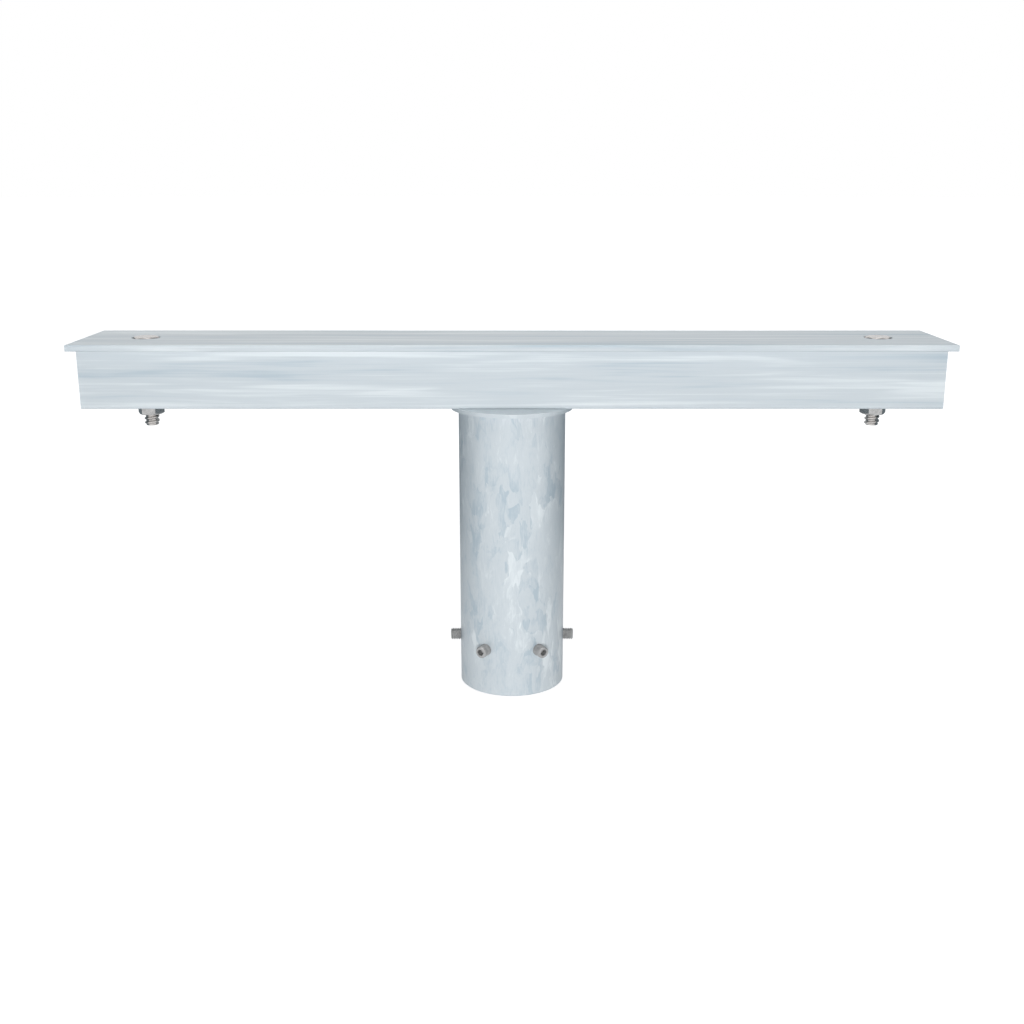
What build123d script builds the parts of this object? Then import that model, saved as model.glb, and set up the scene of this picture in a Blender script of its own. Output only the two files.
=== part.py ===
from build123d import *
import os
from math import cos, pi, radians, tan

# Galvanised steel crossarm for a pole top: a flat plate on a square box beam, carried by a round sleeve.
# Frame: millimetres, +Z up, origin at the centre of the sleeve's open bottom end, arm along X.

# Arm: a flat plate lying on a square box beam of the same length.
arm_length = 700.0
plate_width = 100.0
plate_thickness = 5.0
plate_edge_radius = 0.8
beam_width = 50.0
beam_height = 50.0
beam_wall = 4.0
beam_corner_radius = 1.5
beam_inner_radius = 1.0

# Sleeve that slides over the pole top, closed above by a round cap plate.
cap_diameter = 101.0
cap_thickness = 3.0
sleeve_diameter = 88.9
sleeve_wall = 4.0
sleeve_length = 240.0
sleeve_edge_break = 0.8

# Through bolts, one near each end of the arm, and their nuts.
bolt_end_distance = 50.0
bolt_diameter = 12.0
bolt_length = 67.5
bolt_point_length = 1.6
bolt_point_diameter = 9.4
hex_across_flats = 19.0
head_height = 6.0
nut_height = 8.0
hex_face_diameter = 17.6
nut_countersink_diameter = 13.4

# Socket set screws that clamp the pole.
screw_count = 6
screw_first_angle = 30.0
screw_diameter = 10.0
screw_length = 12.0
screw_height = 40.0
screw_socket_across_flats = 5.0
screw_socket_depth = 5.5
screw_cup_diameter = 5.6
screw_cup_angle = 118.0
screw_point_angle = 45.0

# Clearances, each on the radius or on one side.
head_clearance = 0.5
bolt_hole_clearance = 0.75
thread_clearance = 0.1
screw_tip_setback = 0.5

# Heights of the seats, from the sleeve's open end upwards.
cap_bottom = sleeve_length
beam_bottom = cap_bottom + cap_thickness
beam_top = beam_bottom + beam_height
plate_top = beam_top + plate_thickness

sleeve_bore_radius = sleeve_diameter / 2 - sleeve_wall
hex_corner_radius = hex_across_flats / 2 / cos(pi / 6)
bolt_reach = arm_length / 2 - bolt_end_distance
bolt_positions = [-bolt_reach, bolt_reach]
screw_angles = [screw_first_angle + i * 360.0 / screw_count for i in range(screw_count)]


def vertical_cylinder(radius, bottom, top):
    """Solid cylinder about Z between two heights."""
    return Pos(0, 0, bottom) * Cylinder(radius, top - bottom, align=(Align.CENTER, Align.CENTER, Align.MIN))


def turned(points):
    """Solid of revolution about Z from a closed outline of (radius, height) points."""
    outline = Polyline(*[(radius, 0, height) for radius, height in points], close=True)
    return revolve(make_face(outline), Axis.Z)


def top_plate():
    """Flat bar with rounded long edges and a round opening over each bolt head."""
    section = Plane.YZ * RectangleRounded(plate_width, plate_thickness, plate_edge_radius)
    plate = Pos(0, 0, beam_top + plate_thickness / 2) * extrude(section, arm_length / 2, both=True)
    opening = vertical_cylinder(hex_corner_radius + head_clearance, beam_top - 1, plate_top + 1)
    for x in bolt_positions:
        plate -= Pos(x, 0, 0) * opening
    return plate


def box_beam():
    """Square hollow section with open ends, drilled through both walls for each bolt."""
    outer = RectangleRounded(beam_width, beam_height, beam_corner_radius)
    inner = RectangleRounded(beam_width - 2 * beam_wall, beam_height - 2 * beam_wall, beam_inner_radius)
    section = Plane.YZ * (outer - inner)
    beam = Pos(0, 0, beam_bottom + beam_height / 2) * extrude(section, arm_length / 2, both=True)
    hole = vertical_cylinder(bolt_diameter / 2 + bolt_hole_clearance, beam_bottom - 1, beam_top + 1)
    for x in bolt_positions:
        beam -= Pos(x, 0, 0) * hole
    return beam


def cap_plate():
    """Round plate between the beam and the sleeve."""
    return vertical_cylinder(cap_diameter / 2, cap_bottom, beam_bottom)


def tapped_hole(angle):
    """Radial cylinder that cuts one screw hole through the sleeve wall."""
    radius = screw_diameter / 2 + thread_clearance
    hole = vertical_cylinder(radius, sleeve_bore_radius / 2, sleeve_diameter)
    return radial(hole, angle)


def radial(solid, angle):
    """Turns a solid built along +Z to point outward at screw height, angle measured from -Y towards +X."""
    return Pos(0, 0, screw_height) * Rot(0, 0, angle) * Rot(90, 0, 0) * solid


def sleeve():
    """Round tube with a broken edge at its mouth and a ring of tapped holes."""
    outer = sleeve_diameter / 2
    tube = turned(
        [
            (sleeve_bore_radius + sleeve_edge_break, 0),
            (outer - sleeve_edge_break, 0),
            (outer, sleeve_edge_break),
            (outer, cap_bottom),
            (sleeve_bore_radius, cap_bottom),
            (sleeve_bore_radius, sleeve_edge_break),
        ]
    )
    for angle in screw_angles:
        tube -= tapped_hole(angle)
    return tube


def bevelled_hexagon(height):
    """Hexagonal prism on Z = 0, flats to front and back, the corners of its free end bevelled at 30 degrees."""
    prism = extrude(RegularPolygon(hex_across_flats / 2, 6, major_radius=False), height)
    face_radius = hex_face_diameter / 2
    drop = (hex_corner_radius - face_radius) * tan(radians(30))
    envelope = turned(
        [
            (0, 0),
            (hex_corner_radius, 0),
            (hex_corner_radius, height - drop),
            (face_radius, height),
            (0, height),
        ]
    )
    return prism & envelope


def hex_bolt(x):
    """Bolt with its head seated on the beam's top wall and its pointed shank hanging below the beam."""
    head = Pos(0, 0, beam_top) * bevelled_hexagon(head_height)
    end = beam_top - bolt_length
    shank = turned(
        [
            (0, end),
            (bolt_point_diameter / 2, end),
            (bolt_diameter / 2, end + bolt_point_length),
            (bolt_diameter / 2, beam_top),
            (0, beam_top),
        ]
    )
    return Pos(x, 0, 0) * (head + shank)


def hex_nut(x):
    """Nut seated under the beam, with its bevelled and countersunk face downward."""
    bore = bolt_diameter / 2 + thread_clearance
    mouth = nut_countersink_diameter / 2
    hole = turned(
        [
            (0, 0),
            (bore, 0),
            (bore, nut_height - (mouth - bore)),
            (mouth, nut_height),
            (0, nut_height),
        ]
    )
    nut = bevelled_hexagon(nut_height) - hole
    return Pos(x, 0, beam_bottom) * Rot(180, 0, 0) * nut


def set_screw(angle):
    """Headless screw with a hexagon socket outside and a tapered, cupped point facing the pole."""
    radius = screw_diameter / 2
    tip = sleeve_bore_radius + screw_tip_setback
    cup_radius = screw_cup_diameter / 2
    cup_depth = cup_radius / tan(radians(screw_cup_angle / 2))
    taper = (radius - cup_radius) * tan(radians(screw_point_angle))
    body = turned(
        [
            (0, cup_depth),
            (cup_radius, 0),
            (radius, taper),
            (radius, screw_length),
            (0, screw_length),
        ]
    )
    socket = extrude(RegularPolygon(screw_socket_across_flats / 2, 6, major_radius=False), screw_socket_depth)
    body -= Pos(0, 0, screw_length - screw_socket_depth) * socket
    return radial(Pos(0, 0, tip) * body, angle)


def main():
    """Builds every piece and writes one file for each."""
    pieces = {
        "top_plate": top_plate(),
        "box_beam": box_beam(),
        "cap_plate": cap_plate(),
        "sleeve": sleeve(),
    }
    for number, x in enumerate(bolt_positions, start=1):
        pieces[f"hex_bolt_{number}"] = hex_bolt(x)
        pieces[f"hex_nut_{number}"] = hex_nut(x)
    for number, angle in enumerate(screw_angles, start=1):
        pieces[f"set_screw_{number}"] = set_screw(angle)
    os.makedirs("parts", exist_ok=True)
    for name, piece in pieces.items():
        export_step(piece, f"parts/{name}.step")


main()
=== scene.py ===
from math import cos, pi, radians, sin, tan

import bpy
import numpy as np
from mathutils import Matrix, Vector


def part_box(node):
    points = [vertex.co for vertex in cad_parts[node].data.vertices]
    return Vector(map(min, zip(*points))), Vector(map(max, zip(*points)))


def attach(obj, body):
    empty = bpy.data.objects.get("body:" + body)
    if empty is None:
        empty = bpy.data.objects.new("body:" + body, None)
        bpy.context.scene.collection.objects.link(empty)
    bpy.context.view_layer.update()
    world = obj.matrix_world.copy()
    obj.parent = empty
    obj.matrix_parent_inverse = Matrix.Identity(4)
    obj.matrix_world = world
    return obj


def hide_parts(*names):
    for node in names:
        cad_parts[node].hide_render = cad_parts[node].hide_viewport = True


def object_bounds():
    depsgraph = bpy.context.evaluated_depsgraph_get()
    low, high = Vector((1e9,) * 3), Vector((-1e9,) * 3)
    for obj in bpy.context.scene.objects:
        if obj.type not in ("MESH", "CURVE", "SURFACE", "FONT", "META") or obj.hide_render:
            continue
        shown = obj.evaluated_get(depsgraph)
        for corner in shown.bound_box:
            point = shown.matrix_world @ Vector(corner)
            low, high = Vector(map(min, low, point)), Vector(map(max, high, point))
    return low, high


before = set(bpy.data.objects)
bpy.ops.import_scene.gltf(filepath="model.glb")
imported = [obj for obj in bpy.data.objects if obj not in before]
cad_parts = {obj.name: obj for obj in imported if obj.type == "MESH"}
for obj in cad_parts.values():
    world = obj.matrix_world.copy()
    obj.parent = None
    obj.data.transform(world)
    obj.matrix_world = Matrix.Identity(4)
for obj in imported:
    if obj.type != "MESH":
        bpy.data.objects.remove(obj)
CAD_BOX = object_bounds()

bl_info = {
    "name": "Galvanised Pole Crossarm",
    "version": (1, 0, 0),
    "blender": (4, 5, 0),
    "location": "View3D > Sidebar > Crossarm",
    "description": "Dresses a pole-top crossarm with threaded fasteners, zinc finishes and a stage",
    "category": "Object",
}

MM = 0.001
WHITE = (1.0, 1.0, 1.0, 1.0)

BOLT_NODES = ("hex_bolt_1", "hex_bolt_2")
NUT_NODES = ("hex_nut_1", "hex_nut_2")
SCREW_NODES = tuple(f"set_screw_{number}" for number in range(1, 7))
# This screw points along X, so its box gives the length, radius, tip and height of them all.
SIDE_SCREW = "set_screw_2"

# Slope of the 30 degree cone that bevels a hexagon head or nut
BEVEL_SLOPE = tan(radians(30))
# Faces that meet at more than this angle keep a sharp edge between them
SHARP_ANGLE = radians(28)

# The tone at which the zinc has its body colour, and how strongly the coat's glaze mirrors
MIDDLE_TONE = 0.50
ZINC_SHEEN = 0.25

# Name, place, width, and whether the metal mirrors it
LAMPS = (
    ("front", (0.0, -2.8, 0.38), 0.72, False),
    ("top", (0.0, -0.4, 2.6), 2.0, True),
    ("back", (0.3, 2.8, 1.0), 1.4, False),
)
# The lamps aim at this share of the crossarm's height
LAMP_AIM = 0.6

FLOOR_RADIUS = 30.0
FLOOR_COLUMNS = 96
# The floor lies this far below the sleeve's end, so that the two don't share a plane
FLOOR_DROP = 0.3 * MM
# Brightness of the floor near the crossarm, where it has room to take a shadow
FLOOR_GLOW = 0.90

# Radius of the flag as a share of the arm's length, its height as a share of the crossarm's height
FLAG_RADIUS = 0.65
FLAG_HEIGHT = 1.08
# Half the angle that the flag leaves open in front, and the points along it
FLAG_OPENING = radians(76)
FLAG_POINTS = 73


# ---------------------------------------------------------------------------------------------------
# Sizes and colours that a user would change
# ---------------------------------------------------------------------------------------------------


def length(label, text, default):
    """A length property in metres."""
    return bpy.props.FloatProperty(
        name=label,
        description=text,
        default=default,
        min=0.0,
        precision=5,
        subtype="DISTANCE",
        unit="LENGTH",
    )


def angle(label, text, degrees):
    """An angle property whose default is given in degrees."""
    return bpy.props.FloatProperty(
        name=label, description=text, default=radians(degrees), subtype="ANGLE"
    )


def steps(label, text, default, least):
    """A whole number with a lower limit."""
    return bpy.props.IntProperty(name=label, description=text, default=default, min=least)


def colour(label, text, default):
    """A linear colour property."""
    return bpy.props.FloatVectorProperty(
        name=label, description=text, default=default, size=3, min=0.0, max=1.0, subtype="COLOR"
    )


def share(label, text, default):
    """A number between 0 and 1."""
    return bpy.props.FloatProperty(
        name=label, description=text, default=default, min=0.0, max=1.0, subtype="FACTOR"
    )


def power(label, default):
    """The power of a lamp in watts."""
    return bpy.props.FloatProperty(
        name=label, description="Power in watts", default=default, min=0.0, unit="POWER"
    )


class BoltSizes(bpy.types.PropertyGroup):
    """Sizes of the two through bolts and their nuts that the solids don't give by themselves."""

    diameter: length("Bolt diameter", "Outside diameter of the thread", 12.0 * MM)
    face_diameter: length("Head face", "Diameter of the flat circle on the head's top", 17.6 * MM)
    pitch: length("Thread pitch", "Rise of the bolt's thread in one turn", 3.5 * MM)
    depth: length("Thread depth", "Depth of the groove between two ridges", 1.15 * MM)
    threaded: length("Threaded length", "Length of thread at the free end", 27.0 * MM)
    point: length("Point length", "Length of the bevelled point", 1.6 * MM)
    point_diameter: length("Point diameter", "Diameter of the flat end of the point", 9.4 * MM)
    nut_face: length("Nut face", "Diameter of the flat ring on the nut's lower face", 18.2 * MM)
    nut_play: length("Nut play", "Gap between the bolt and the nut's bore", 0.1 * MM)
    nut_sink: length("Nut countersink", "Depth of the countersink at the nut's mouth", 0.6 * MM)
    edge: length("Edge rounding", "Width of the rounding on the flats' edges", 0.35 * MM)
    columns: steps("Columns", "Steps once round the bolt", 96, 12)
    rows_per_turn: steps("Rows per turn", "Steps along one pitch", 16, 6)


class ScrewSizes(bpy.types.PropertyGroup):
    """Sizes of the socket set screws."""

    count: steps("Screws", "Set screws round the sleeve", 6, 1)
    first_angle: angle("First angle", "Angle of the first screw from the front", 30)
    pitch: length("Thread pitch", "Rise of the thread in one turn", 1.5 * MM)
    depth: length("Thread depth", "Depth of the groove between two ridges", 0.8 * MM)
    socket_flats: length("Socket", "Width of the hexagon socket across its flats", 5.0 * MM)
    socket_depth: length("Socket depth", "Depth of the hexagon socket", 5.5 * MM)
    mouth_flats: length("Mouth", "Width of the socket's mouth across its flats", 5.35 * MM)
    mouth_depth: length("Mouth depth", "Depth over which the mouth narrows", 0.35 * MM)
    drill_point: length("Drill point", "Depth of the cone in the socket's floor", 0.8 * MM)
    cup_diameter: length("Cup", "Diameter of the cupped point's rim", 5.6 * MM)
    cup_depth: length("Cup depth", "Depth of the cupped point", 1.68 * MM)
    bevel: length("End bevel", "Bevel at the outer end of the thread", 0.9 * MM)
    columns: steps("Columns", "Steps once round the screw", 72, 12)
    rows_per_turn: steps("Rows per turn", "Steps along one pitch", 12, 6)


class ZincFinish(bpy.types.PropertyGroup):
    """Tones of the zinc coat and of the fasteners, as linear colours."""

    deep: colour("Deep tone", "Blue-grey of the darkest spangle", (0.49, 0.57, 0.625))
    body: colour("Body tone", "Tone of most of the coat", (0.645, 0.69, 0.72))
    pale: colour("Pale tone", "Tone of the brightest patches", (0.80, 0.84, 0.86))
    bolt: colour("Bolt steel", "Tone of the plated bolts", (0.54, 0.52, 0.505))
    nut: colour("Nut steel", "Tone of the plated nuts", (0.47, 0.47, 0.47))
    screw: colour("Screw steel", "Tone of the set screws", (0.42, 0.42, 0.42))
    metallic: share("Zinc metallic", "How much the coat mirrors like bare metal", 0.30)
    roughness: share("Zinc roughness", "Mean roughness of the coat", 0.46)


class StageSettings(bpy.types.PropertyGroup):
    """Camera and studio."""

    distance: length("Camera distance", "Level distance from the arm's front edge", 0.9724)
    rise: length("Camera rise", "Height of the camera above the plate's top", 0.1258)
    pitch: angle("Camera pitch", "How far the camera looks down", 15)
    lens: bpy.props.FloatProperty(
        name="Lens", description="Focal length on a 36 mm sensor", default=43.745, unit="CAMERA"
    )
    world_level: share("World level", "Strength of the even light", 0.14)
    sky: colour("Sky tone", "Tone of the even light", (0.72, 0.90, 1.0))
    front_power: power("Front light", 60.0)
    top_power: power("Top light", 23.0)
    back_power: power("Back light", 27.0)
    flag_tone: colour("Flag tone", "Tone of the flag that the metal mirrors", (0.76, 0.91, 1.0))
    flag_level: share("Flag level", "Brightness of the flag that the metal mirrors", 0.27)


# ---------------------------------------------------------------------------------------------------
# Surfaces of revolution with corners and threads
# ---------------------------------------------------------------------------------------------------


def angles(columns):
    """Evenly spaced angles once round the axis."""
    return np.arange(columns) * (2 * pi / columns)


def hexagon_radius(theta, across_flats):
    """Distance from the axis to a hexagon with corners at angle 0 and every 60 degrees from it.

    It is half the width across the flats over the cosine of the angle from a flat's middle.
    """
    from_middle = np.mod(theta, pi / 3) - pi / 6
    return across_flats / 2 / np.cos(from_middle)


def ridge(phase):
    """Height of a thread ridge over its phase, 0 in the groove and 1 on the crest.

    A cosine wave is steepened and cut off above and below, which leaves a narrow crest and root.
    """
    steepness = 0.72
    return np.clip(0.5 - steepness * np.cos(2 * pi * phase), 0.0, 1.0)


def thread_rows(theta, start, end, radius, sizes):
    """Rings of a helical thread from one height to another, as radii and heights.

    The radius at angle theta and height z is the outer radius less the depth times what the ridge
    lacks at the phase z / pitch - theta / one turn, so that the ridge climbs one pitch in a turn.
    """
    turns = abs(end - start) / sizes.pitch
    count = max(2, int(round(turns * sizes.rows_per_turn)) + 1)
    _, height = np.meshgrid(theta, np.linspace(start, end, count))
    phase = height / sizes.pitch - theta / (2 * pi)
    return radius - sizes.depth * (1 - ridge(phase)), height


def ring(theta, radius, height):
    """One ring as a row: radius and height may each be a number or one value for each angle."""
    level = np.zeros((1, len(theta)))
    return level + radius, level + height


def stack(rows):
    """Joins rings and groups of rings into one grid of radii and one of heights."""
    return np.concatenate([r for r, _ in rows]), np.concatenate([z for _, z in rows])


def round_points(theta, radius, height):
    """Points of a grid about Z: (radius * cos theta, radius * sin theta, height), row by row."""
    coordinates = [radius * np.cos(theta), radius * np.sin(theta), height]
    return np.stack(coordinates, axis=-1).reshape(-1, 3)


def grid_quads(rows, columns, looped=False):
    """Quads of a grid whose rows are rings: (i, j), (i, j + 1), (i + 1, j + 1), (i + 1, j).

    The last column joins the first. In a looped grid, the last row joins the first too.
    """
    count = rows if looped else rows - 1
    i, j = np.meshgrid(np.arange(count), np.arange(columns), indexing="ij")
    here, below = i * columns, (i + 1) % rows * columns
    beside = (j + 1) % columns
    corners = [here + j, here + beside, below + beside, below + j]
    return np.stack(corners, axis=-1).reshape(-1, 4)


def fan(columns, hub, first):
    """Triangles from a hub point to each pair of neighbours in the ring that starts at a point."""
    j = np.arange(columns)
    return np.stack([np.full(columns, hub), first + j, first + (j + 1) % columns], axis=-1)


def closed_surface(theta, radius, height, start_height, end_height):
    """Points and faces of a closed surface about Z from a grid of radii and heights.

    The first and last ring are closed by fans to points on the axis at the two heights given.
    """
    rows, columns = radius.shape
    hubs = np.array([[0.0, 0.0, start_height], [0.0, 0.0, end_height]])
    points = np.concatenate([round_points(theta, radius, height), hubs])
    start_fan = fan(columns, rows * columns, 0)[:, [0, 2, 1]]
    end_fan = fan(columns, rows * columns + 1, (rows - 1) * columns)
    return points, [grid_quads(rows, columns), start_fan, end_fan]


def looped_surface(theta, radius, height):
    """Points and faces of a ring-shaped surface about Z, whose last ring joins its first."""
    return round_points(theta, radius, height), [grid_quads(*radius.shape, looped=True)]


def six_volumes(points, faces):
    """Six times the enclosed volume: the triple product of the corners, summed over triangles."""
    total = 0.0
    for block in faces:
        a = points[block[:, 0]]
        for n in range(1, block.shape[1] - 1):
            total += np.einsum("ij,ij->", a, np.cross(points[block[:, n]], points[block[:, n + 1]]))
    return total


def linked_mesh(name, points, faces):
    """Object at the origin from points and blocks of faces, linked to the scene."""
    mesh = bpy.data.meshes.new(name)
    mesh.from_pydata(points.tolist(), [], [face for block in faces for face in block.tolist()])
    mesh.update()
    made = bpy.data.objects.new(name, mesh)
    bpy.context.scene.collection.objects.link(made)
    return made


def solid_object(name, points, faces):
    """Closed object with outward faces, smooth but for its sharp edges."""
    if six_volumes(points, faces) < 0:
        faces = [block[:, ::-1] for block in faces]
    made = linked_mesh(name, points, faces)
    smooth = np.ones(len(made.data.polygons), dtype=bool)
    made.data.polygons.foreach_set("use_smooth", smooth)
    made.data.set_sharp_from_angle(angle=SHARP_ANGLE)
    return made


def rounded_edges(piece, width):
    """Rounds the piece's sharp edges with a narrow bevel, which catches the light."""
    edge = piece.modifiers.new("edge", "BEVEL")
    edge.width = width
    edge.segments = 3
    edge.limit_method = "ANGLE"
    edge.angle_limit = radians(50)
    edge.use_clamp_overlap = True


def size_of(node):
    """Lowest and highest corner of a node as two arrays, in metres."""
    low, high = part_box(node)
    return np.array(low), np.array(high)


def moved_over(points, low, high):
    """Points about the Z axis moved level to the middle of a box."""
    return points + np.array([(low[0] + high[0]) / 2, (low[1] + high[1]) / 2, 0.0])


def bolt_surface(sizes, node):
    """Headed bolt about its own axis: head face, bevel, flats, underside, plain shank and thread.

    The bevel is a cone, so the flats' upper ends lie lower the further out they are. The thread's
    depth grows from nothing over its first turn, and a cone round its free end cuts the point.
    """
    low, high = size_of(node)
    seat = size_of("box_beam")[1][2]
    theta = angles(sizes.columns)
    outline = hexagon_radius(theta, high[1] - low[1])
    face = sizes.face_diameter / 2
    radius = sizes.diameter / 2
    tip = sizes.point_diameter / 2
    shoulder = high[2] - (outline - face) * BEVEL_SLOPE
    thread_top = low[2] + sizes.threaded
    shank_end = thread_top + sizes.pitch / 8
    full_radius, thread_height = thread_rows(theta, thread_top, low[2], radius, sizes)
    run_out = np.clip((thread_top - thread_height) / sizes.pitch, 0.0, 1.0)
    cone = tip + (thread_height - low[2]) * (radius - tip) / sizes.point
    thread_radius = np.minimum(radius - (radius - full_radius) * run_out, cone)
    rows = [
        ring(theta, face, high[2]),
        ring(theta, outline, shoulder),
        ring(theta, outline, seat),
        ring(theta, radius, seat),
        ring(theta, radius, shank_end),
        (thread_radius, thread_height),
    ]
    points, faces = closed_surface(theta, *stack(rows), high[2], low[2])
    return moved_over(points, low, high), faces


def nut_surface(sizes, node):
    """Nut about its own axis, a loop of rings: bore, lower countersink, bevelled flats, upper face.

    The bevel is a cone, so the flats' lower ends lie higher the further out they are.
    """
    low, high = size_of(node)
    theta = angles(sizes.columns)
    outline = hexagon_radius(theta, high[1] - low[1])
    face = sizes.nut_face / 2
    bore = sizes.diameter / 2 + sizes.nut_play
    shoulder = low[2] + (outline - face) * BEVEL_SLOPE
    rows = [
        ring(theta, bore, high[2]),
        ring(theta, bore, low[2] + sizes.nut_sink),
        ring(theta, bore + sizes.nut_sink, low[2]),
        ring(theta, face, low[2]),
        ring(theta, outline, shoulder),
        ring(theta, outline, high[2]),
    ]
    points, faces = looped_surface(theta, *stack(rows))
    return moved_over(points, low, high), faces


def screw_surface(sizes, direction):
    """Set screw built about Z from its tip and laid outward: cup, taper, thread, bevel and socket.

    The thread's radius is cut down to the cup's rim plus the distance from the tip, which gives
    the taper, and at the other end to a cone of 45 degrees, which gives the bevel. A point
    (x, y, z) then goes x across, y up and z outward.
    """
    low, high = size_of(SIDE_SCREW)
    reach, radius = high[0] - low[0], (high[2] - low[2]) / 2
    theta = angles(sizes.columns)
    cup = sizes.cup_diameter / 2
    full_radius, height = thread_rows(theta, 0.0, reach, radius, sizes)
    bevel = radius - sizes.bevel + (reach - height)
    thread_radius = np.minimum(np.minimum(full_radius, cup + height), bevel)
    socket = hexagon_radius(theta, sizes.socket_flats)
    floor = reach - sizes.socket_depth
    rows = [
        ring(theta, cup / 2, sizes.cup_depth / 2),
        (thread_radius, height),
        ring(theta, hexagon_radius(theta, sizes.mouth_flats), reach),
        ring(theta, socket, reach - sizes.mouth_depth),
        ring(theta, socket, floor),
    ]
    points, faces = closed_surface(theta, *stack(rows), sizes.cup_depth, floor - sizes.drill_point)
    across = np.array([cos(direction), sin(direction), 0.0])
    up = np.array([0.0, 0.0, 1.0])
    outward = np.array([sin(direction), -cos(direction), 0.0])
    start = low[0] * outward + (high[2] + low[2]) / 2 * up
    return points @ np.array([across, up, outward]) + start, faces


# ---------------------------------------------------------------------------------------------------
# Shader expressions
# ---------------------------------------------------------------------------------------------------


class Value:
    """One output socket of a node tree. Arithmetic on it adds Math nodes."""

    def __init__(self, graph, socket):
        self.graph = graph
        self.socket = socket

    def math(self, operation, *values):
        """A Math node on the values given."""
        return self.graph.node("ShaderNodeMath", {"operation": operation}, dict(enumerate(values)))

    def __add__(self, other):
        return self.math("ADD", self, other)

    def __radd__(self, other):
        return self.math("ADD", other, self)

    def __mul__(self, other):
        return self.math("MULTIPLY", self, other)

    def __rmul__(self, other):
        return self.math("MULTIPLY", other, self)

    def between(self, low, high):
        """0 below low and 1 above high, with a smooth step between them."""
        inputs = {"Value": self, "From Min": low, "From Max": high}
        return self.graph.node("ShaderNodeMapRange", {"interpolation_type": "SMOOTHSTEP"}, inputs)


class Graph:
    """The node tree of a material or a world."""

    def __init__(self, owner):
        owner.use_nodes = True
        self.owner = owner
        self.tree = owner.node_tree
        self.tree.nodes.clear()

    def fill(self, socket, value):
        """Links a value to a socket, or sets the socket to a plain number or colour."""
        if isinstance(value, Value):
            self.tree.links.new(value.socket, socket)
        else:
            socket.default_value = value

    def node(self, kind, settings=None, inputs=None, output=0):
        """Adds a node: settings first, then each input's value or link. Returns one output."""
        made = self.tree.nodes.new(kind)
        for name, value in (settings or {}).items():
            setattr(made, name, value)
        for name, value in (inputs or {}).items():
            self.fill(made.inputs[name], value)
        return Value(self, made.outputs[output]) if made.outputs else made

    def mix(self, factor, first, second):
        """Colour between two colours, through the colour sockets of a Mix node."""
        return self.node(
            "ShaderNodeMix", {"data_type": "RGBA"}, {0: factor, 6: first, 7: second}, output=2
        )

    def vector(self, operation, inputs, output=0):
        """A Vector Math node."""
        return self.node("ShaderNodeVectorMath", {"operation": operation}, inputs, output)

    def stretched(self, scale):
        """Object coordinates multiplied by a scale for each axis."""
        place = self.node("ShaderNodeTexCoord", output="Object")
        return self.node("ShaderNodeMapping", None, {"Vector": place, "Scale": scale})

    def noise(self, place, scale, detail, roughness=0.5, distortion=0.0):
        """Cloudy number about one half, with the scale in repeats a metre."""
        inputs = {
            "Vector": place,
            "Scale": scale,
            "Detail": detail,
            "Roughness": roughness,
            "Distortion": distortion,
        }
        return self.node("ShaderNodeTexNoise", None, inputs)

    def shifted(self, place, scale, amount):
        """Coordinates pushed about by a noise, which frays the edges of a pattern laid on them."""
        inputs = {"Vector": place, "Scale": scale, "Detail": 2.0}
        push = self.node("ShaderNodeTexNoise", None, inputs, output="Color")
        centred = self.vector("SUBTRACT", {0: push, 1: (0.5, 0.5, 0.5)})
        scaled = self.vector("SCALE", {0: centred, "Scale": amount})
        return self.vector("ADD", {0: place, 1: scaled})

    def cells(self, place, scale, softness):
        """A random number for each crystal cell, blended a little over the cells' edges."""
        inputs = {"Vector": place, "Scale": scale, "Smoothness": softness}
        settings = {"feature": "SMOOTH_F1"}
        hue = self.node("ShaderNodeTexVoronoi", settings, inputs, output="Color")
        return self.node("ShaderNodeSeparateColor", None, {"Color": hue})


def rgba(tone):
    """Colour with full alpha."""
    return (*tone, 1.0)


def balanced(*parts):
    """Sum of weights times values, less half the weights, so that it swings about 0."""
    total = -0.5 * sum(weight for weight, _ in parts)
    for weight, value in parts:
        total = total + weight * value
    return total


# ---------------------------------------------------------------------------------------------------
# Finishes
# ---------------------------------------------------------------------------------------------------


def finished(graph, base, roughness, metallic, height, strength, depth, sheen=0.5):
    """Principled surface with a bump, linked to the output. Returns the material.

    The strength and depth are the bump's, and the sheen is how strongly the glaze mirrors.
    """
    bump = {"Height": height, "Strength": strength, "Distance": depth}
    surface = {
        "Base Color": base,
        "Roughness": roughness,
        "Metallic": metallic,
        "Normal": graph.node("ShaderNodeBump", None, bump),
        "Specular IOR Level": sheen,
    }
    shader = graph.node("ShaderNodeBsdfPrincipled", None, surface)
    graph.node("ShaderNodeOutputMaterial", None, {"Surface": shader})
    return graph.owner


def zinc_colour(graph, tones, tone, darkest, palest):
    """Colour of the coat: deep at the darkest tone, body at the middle one, pale at the palest."""
    lower = graph.mix(tone.between(darkest, MIDDLE_TONE), rgba(tones.deep), rgba(tones.body))
    return graph.mix(tone.between(MIDDLE_TONE, palest), lower, rgba(tones.pale))


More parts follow.
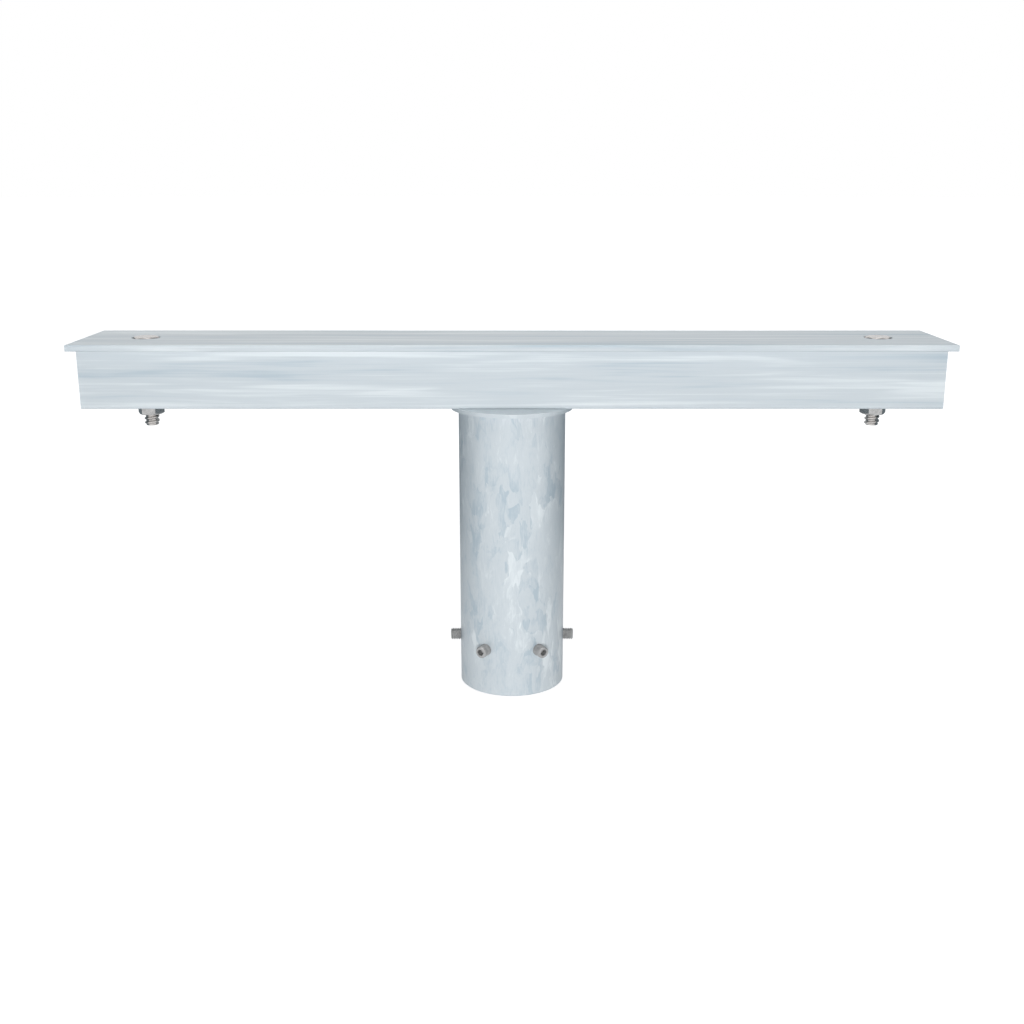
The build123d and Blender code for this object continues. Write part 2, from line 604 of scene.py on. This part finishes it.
def drawn_zinc(name, tones, stretch, contrast, lift):
    """Hot-dip zinc drawn out along the steel: long soft streaks, pale and blue, over fine lines.

    The tone is a sum of three noises that are stretched along the arm. A fourth pushes the two
    slower ones about. The lift makes the whole coat paler.
    """
    graph = Graph(bpy.data.materials.new(name))
    swept = graph.shifted(graph.stretched(stretch), 26.0, 0.012)
    fine = graph.stretched((0.25 * stretch[0], 1.0, 1.0))
    broad = graph.noise(swept, 62.0, detail=2.0, roughness=0.4)
    streak = graph.noise(swept, 175.0, detail=2.5, roughness=0.5, distortion=0.4)
    lines = graph.noise(fine, 640.0, detail=2.0)
    waves = balanced((0.42, broad), (0.5, streak), (0.2, lines))
    base = zinc_colour(graph, tones, MIDDLE_TONE + lift + contrast * waves, 0.22, 0.76)
    roughness = tones.roughness - 0.04 + 0.12 * streak
    height = 0.6 * streak + 0.4 * lines
    return finished(graph, base, roughness, tones.metallic, height, 0.05, 0.3 * MM, ZINC_SHEEN)


def spangled_zinc(name, tones, contrast, lift, painted_light_top=None):
    """Hot-dip zinc on tube: soft upright mottling, torn crystal patches and fine grain.

    Clouds at two scales carry most of the tone. Crystal cells add patches where a slow noise lets
    them through, and the palest cells come out near white. The upper face at the height given is
    painted paler, a painted light that stands in for the light that falls on it.
    """
    graph = Graph(bpy.data.materials.new(name))
    upright = graph.stretched((1.0, 1.0, 0.42))
    torn = graph.shifted(graph.shifted(upright, 70.0, 0.02), 260.0, 0.006)
    large = graph.cells(torn, 80.0, 0.06)
    small = graph.cells(torn, 165.0, 0.12)
    cloud = graph.noise(upright, 38.0, detail=5.0, roughness=0.62)
    mottle = graph.noise(torn, 150.0, detail=4.0, roughness=0.7)
    grain = graph.noise(graph.stretched((1.0, 1.0, 0.16)), 900.0, detail=2.0)
    patches = graph.noise(upright, 30.0, detail=1.0).between(0.42, 0.62)
    crystal = (0.35 + 0.65 * patches) * balanced((0.5, large), (0.5, small))
    waves = balanced((0.5, cloud), (0.48, mottle), (0.3, grain)) + 0.62 * crystal
    tone = MIDDLE_TONE + lift + contrast * waves
    # Painted light: the face at this height is made paler, as if more light fell on it
    if painted_light_top is not None:
        place = graph.stretched((1.0, 1.0, 1.0))
        height = graph.node("ShaderNodeSeparateXYZ", None, {"Vector": place}, output="Z")
        tone = tone + 0.6 * height.between(painted_light_top - 0.2 * MM, painted_light_top - 0.1 * MM)
    base = zinc_colour(graph, tones, tone, 0.14, 0.82)
    bright = patches * large.between(0.74, 0.84) * (0.5 + 0.5 * mottle.between(0.35, 0.6))
    base = graph.mix(0.6 * bright, base, rgba(tones.pale))
    roughness = tones.roughness - 0.06 + 0.14 * small
    height = 0.5 * large + 0.3 * mottle + 0.2 * grain
    return finished(graph, base, roughness, tones.metallic, height, 0.08, 0.4 * MM, ZINC_SHEEN)


def plated_steel(name, tone, roughness, metallic):
    """Plated fastener steel: a slightly uneven grey with fine scuffs.

    The tone is 0.78 to 1.16 times the one given, by the sum of a cloud and a scuffing noise.
    """
    graph = Graph(bpy.data.materials.new(name))
    cloud = graph.noise(graph.stretched((1.0, 1.0, 1.0)), 260.0, detail=4.0, roughness=0.6)
    scuff = graph.noise(graph.stretched((1.0, 1.0, 6.0)), 900.0, detail=2.0)
    amount = (0.6 * cloud + 0.4 * scuff).between(0.3, 0.7)
    dark = rgba(0.78 * part for part in tone)
    light = rgba(min(1.0, 1.16 * part) for part in tone)
    base = graph.mix(amount, dark, light)
    height = 0.5 * cloud + 0.5 * scuff
    return finished(graph, base, roughness + 0.14 * scuff, metallic, height, 0.12, 0.2 * MM)


def dress(node, finish):
    """Gives a solid carried over from the frame its finish."""
    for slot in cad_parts[node].material_slots:
        slot.material = finish


# ---------------------------------------------------------------------------------------------------
# Studio
# ---------------------------------------------------------------------------------------------------


def area_light(name, place, aim, size, watts, mirrored):
    """Square soft light at a place, facing a point, that the metal mirrors or doesn't."""
    data = bpy.data.lights.new(name, "AREA")
    data.shape = "SQUARE"
    data.size = size
    data.energy = watts
    made = bpy.data.objects.new(name, data)
    made.location = place
    made.rotation_euler = (Vector(aim) - Vector(place)).to_track_quat("-Z", "Y").to_euler()
    made.visible_glossy = mirrored
    bpy.context.scene.collection.objects.link(made)


def seen_directly(graph):
    """1 for camera, glossy and transmission rays, 0 for the rays that light things."""
    kinds = ("Camera", "Glossy", "Transmission")
    camera, glossy, through = (
        graph.node("ShaderNodeLightPath", output=f"Is {kind} Ray") for kind in kinds
    )
    total = camera + glossy + through
    return total.math("MINIMUM", total, 1.0)


def pale_floor(middle):
    """Round floor that glows just under white and takes a soft shadow from the light on it.

    Point (i, j) lies on ring i at angle j, and a fan to the centre closes the middle. Past the
    middle region, whose width is given, the glow rises to plain white. From below the floor is
    clear.
    """
    rings = FLOOR_RADIUS * np.array([0.02, 0.25, 0.5, 1.0])
    theta, radius = np.meshgrid(angles(FLOOR_COLUMNS), rings)
    points = round_points(theta, radius, np.zeros_like(radius))
    quads = grid_quads(*radius.shape)[:, ::-1]
    centre = fan(FLOOR_COLUMNS, len(points), 0)
    floor = linked_mesh("floor", np.concatenate([points, np.zeros((1, 3))]), [quads, centre])
    floor.location.z = -FLOOR_DROP
    graph = Graph(bpy.data.materials.new("pale_floor"))
    place = graph.node("ShaderNodeTexCoord", output="Object")
    away = graph.vector("LENGTH", {0: place}, output="Value")
    plain = away.between(0.5 * middle, 1.6 * middle)
    glow = FLOOR_GLOW + (1.0 - FLOOR_GLOW) * plain
    white = graph.node("ShaderNodeEmission", None, {"Color": WHITE, "Strength": glow})
    thin = graph.node("ShaderNodeBsdfDiffuse", None, {"Color": rgba((0.26, 0.26, 0.26))})
    matt = graph.node("ShaderNodeBsdfDiffuse", None, {"Color": rgba((0.36, 0.42, 0.46))})
    shadowed = graph.node("ShaderNodeAddShader", None, {0: white, 1: thin})
    chosen = {0: seen_directly(graph), 1: matt, 2: shadowed}
    above = graph.node("ShaderNodeMixShader", None, chosen)
    clear = graph.node("ShaderNodeBsdfTransparent")
    under = graph.node("ShaderNodeNewGeometry", output="Backfacing")
    surface = graph.node("ShaderNodeMixShader", None, {0: under, 1: above, 2: clear})
    graph.node("ShaderNodeOutputMaterial", None, {"Surface": surface})
    floor.data.materials.append(graph.owner)


def grey_flag(radius, top, tone, level):
    """Curved grey studio flag round the sides and back, seen in reflections only.

    Point (i, j) is (radius * sin turn, -radius * cos turn, height), where the turn runs from one
    edge of the opening in front to the other, and the height is the floor's or the top's.
    """
    arc = np.linspace(FLAG_OPENING, 2 * pi - FLAG_OPENING, FLAG_POINTS)
    turn, height = np.meshgrid(arc, (0.0, top))
    points = np.stack([radius * np.sin(turn), -radius * np.cos(turn), height], axis=-1)
    j = np.arange(FLAG_POINTS - 1)
    quads = np.stack([j, j + 1, j + 1 + FLAG_POINTS, j + FLAG_POINTS], axis=-1)
    flag = linked_mesh("flag", points.reshape(-1, 3), [quads])
    graph = Graph(bpy.data.materials.new("grey_flag"))
    grey = graph.node("ShaderNodeEmission", None, {"Color": rgba(tone), "Strength": level})
    graph.node("ShaderNodeOutputMaterial", None, {"Surface": grey})
    flag.data.materials.append(graph.owner)
    for ray in ("camera", "diffuse", "transmission", "volume_scatter", "shadow"):
        setattr(flag, f"visible_{ray}", False)


def white_world(settings):
    """World that is plain white where it is seen and lights things with a weak even sky."""
    graph = Graph(bpy.data.worlds.new("studio"))
    seen = seen_directly(graph)
    strength = settings.world_level + (1.0 - settings.world_level) * seen
    tone = graph.mix(seen, rgba(settings.sky), WHITE)
    sky = graph.node("ShaderNodeBackground", None, {"Color": tone, "Strength": strength})
    graph.node("ShaderNodeOutputWorld", None, {"Surface": sky})
    return graph.owner


def studio_camera(settings):
    """Camera in front of the arm's middle, a little above it and looking slightly down."""
    low, high = size_of("top_plate")
    data = bpy.data.cameras.new("camera")
    data.sensor_width = 36.0
    data.lens = settings.lens
    camera = bpy.data.objects.new("camera", data)
    camera.location = (0.0, low[1] - settings.distance, high[2] + settings.rise)
    camera.rotation_euler = (pi / 2 - settings.pitch, 0.0, 0.0)
    bpy.context.scene.collection.objects.link(camera)
    return camera


# ---------------------------------------------------------------------------------------------------
# Operators, one for each group of pieces and one for the stage
# ---------------------------------------------------------------------------------------------------


class CROSSARM_OT_steelwork(bpy.types.Operator):
    """Finish the plate, the beam, the cap plate and the sleeve in hot-dip zinc"""

    bl_idname = "crossarm.steelwork"
    bl_label = "Finish Steelwork"

    def execute(self, context):
        tones = context.scene.crossarm_zinc
        cap_top = size_of("cap_plate")[1][2]
        dress("top_plate", drawn_zinc("zinc_plate", tones, (0.035, 1.0, 1.0), 1.65, 0.0))
        dress("box_beam", drawn_zinc("zinc_beam", tones, (0.045, 1.0, 1.0), 1.5, 0.07))
        # The cap's upper face is painted paler, a painted light on it
        dress("cap_plate", spangled_zinc("zinc_cap", tones, 0.4, 0.03, painted_light_top=cap_top))
        dress("sleeve", spangled_zinc("zinc_sleeve", tones, 1.1, -0.025))
        return {"FINISHED"}


class CROSSARM_OT_bolts(bpy.types.Operator):
    """Make the two threaded through bolts and their bevelled nuts"""

    bl_idname = "crossarm.bolts"
    bl_label = "Make Bolts"

    def execute(self, context):
        sizes = context.scene.crossarm_bolts
        tones = context.scene.crossarm_zinc
        bolt_steel = plated_steel("plated_bolt_steel", tones.bolt, 0.16, 1.0)
        nut_steel = plated_steel("plated_nut_steel", tones.nut, 0.18, 1.0)
        for number, (bolt_node, nut_node) in enumerate(zip(BOLT_NODES, NUT_NODES), start=1):
            bolt = solid_object(f"threaded_bolt_{number}", *bolt_surface(sizes, bolt_node))
            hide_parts(bolt_node)
            nut = solid_object(f"bevelled_nut_{number}", *nut_surface(sizes, nut_node))
            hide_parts(nut_node)
            for piece, steel in ((bolt, bolt_steel), (nut, nut_steel)):
                piece.data.materials.append(steel)
                rounded_edges(piece, sizes.edge)
                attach(piece, "root")
        return {"FINISHED"}


class CROSSARM_OT_set_screws(bpy.types.Operator):
    """Make the ring of threaded socket set screws round the sleeve's lower end"""

    bl_idname = "crossarm.set_screws"
    bl_label = "Make Set Screws"

    def execute(self, context):
        sizes = context.scene.crossarm_screws
        steel = plated_steel("set_screw_steel", context.scene.crossarm_zinc.screw, 0.38, 0.7)
        for index in range(sizes.count):
            direction = sizes.first_angle + index * 2 * pi / sizes.count
            screw = solid_object(f"threaded_screw_{index + 1}", *screw_surface(sizes, direction))
            screw.data.materials.append(steel)
            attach(screw, "root")
            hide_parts(SCREW_NODES[index])
        return {"FINISHED"}


class CROSSARM_OT_stage(bpy.types.Operator):
    """Set the pale floor, the soft lights, the white world and the camera"""

    bl_idname = "crossarm.stage"
    bl_label = "Set Stage"

    def execute(self, context):
        scene = context.scene
        settings = scene.crossarm_stage
        low, high = CAD_BOX
        arm_length, height = high[0] - low[0], high[2]
        pale_floor(arm_length)
        for name, place, size, mirrored in LAMPS:
            watts = getattr(settings, f"{name}_power")
            aim = (0.0, 0.0, LAMP_AIM * height)
            area_light(f"{name}_light", place, aim, size, watts, mirrored)
        flag_radius, flag_top = FLAG_RADIUS * arm_length, FLAG_HEIGHT * height
        grey_flag(flag_radius, flag_top, settings.flag_tone, settings.flag_level)
        scene.world = white_world(settings)
        scene.view_settings.view_transform = "Standard"
        scene.camera = studio_camera(settings)
        return {"FINISHED"}


OPERATORS = (
    CROSSARM_OT_steelwork,
    CROSSARM_OT_bolts,
    CROSSARM_OT_set_screws,
    CROSSARM_OT_stage,
)
GROUPS = {
    "crossarm_bolts": BoltSizes,
    "crossarm_screws": ScrewSizes,
    "crossarm_zinc": ZincFinish,
    "crossarm_stage": StageSettings,
}


class CROSSARM_PT_panel(bpy.types.Panel):
    """Sidebar panel that lists the operators and their sizes"""

    bl_idname = "CROSSARM_PT_panel"
    bl_label = "Pole Crossarm"
    bl_space_type = "VIEW_3D"
    bl_region_type = "UI"
    bl_category = "Crossarm"

    def draw(self, context):
        for operator in OPERATORS:
            self.layout.operator(operator.bl_idname)
        for name, group in GROUPS.items():
            box = self.layout.box()
            for setting in group.__annotations__:
                box.prop(getattr(context.scene, name), setting)


def register():
    """Registers the classes and hangs each group of settings on the scene."""
    for name, group in GROUPS.items():
        bpy.utils.register_class(group)
        setattr(bpy.types.Scene, name, bpy.props.PointerProperty(type=group))
    for cls in (*OPERATORS, CROSSARM_PT_panel):
        bpy.utils.register_class(cls)


def unregister():
    """Takes back what register made."""
    for cls in (CROSSARM_PT_panel, *reversed(OPERATORS)):
        bpy.utils.unregister_class(cls)
    for name, group in GROUPS.items():
        delattr(bpy.types.Scene, name)
        bpy.utils.unregister_class(group)


def main():
    """Runs every operator in order."""
    register()
    bpy.ops.crossarm.steelwork()
    bpy.ops.crossarm.bolts()
    bpy.ops.crossarm.set_screws()
    bpy.ops.crossarm.stage()


if __name__ == "__main__":
    main()
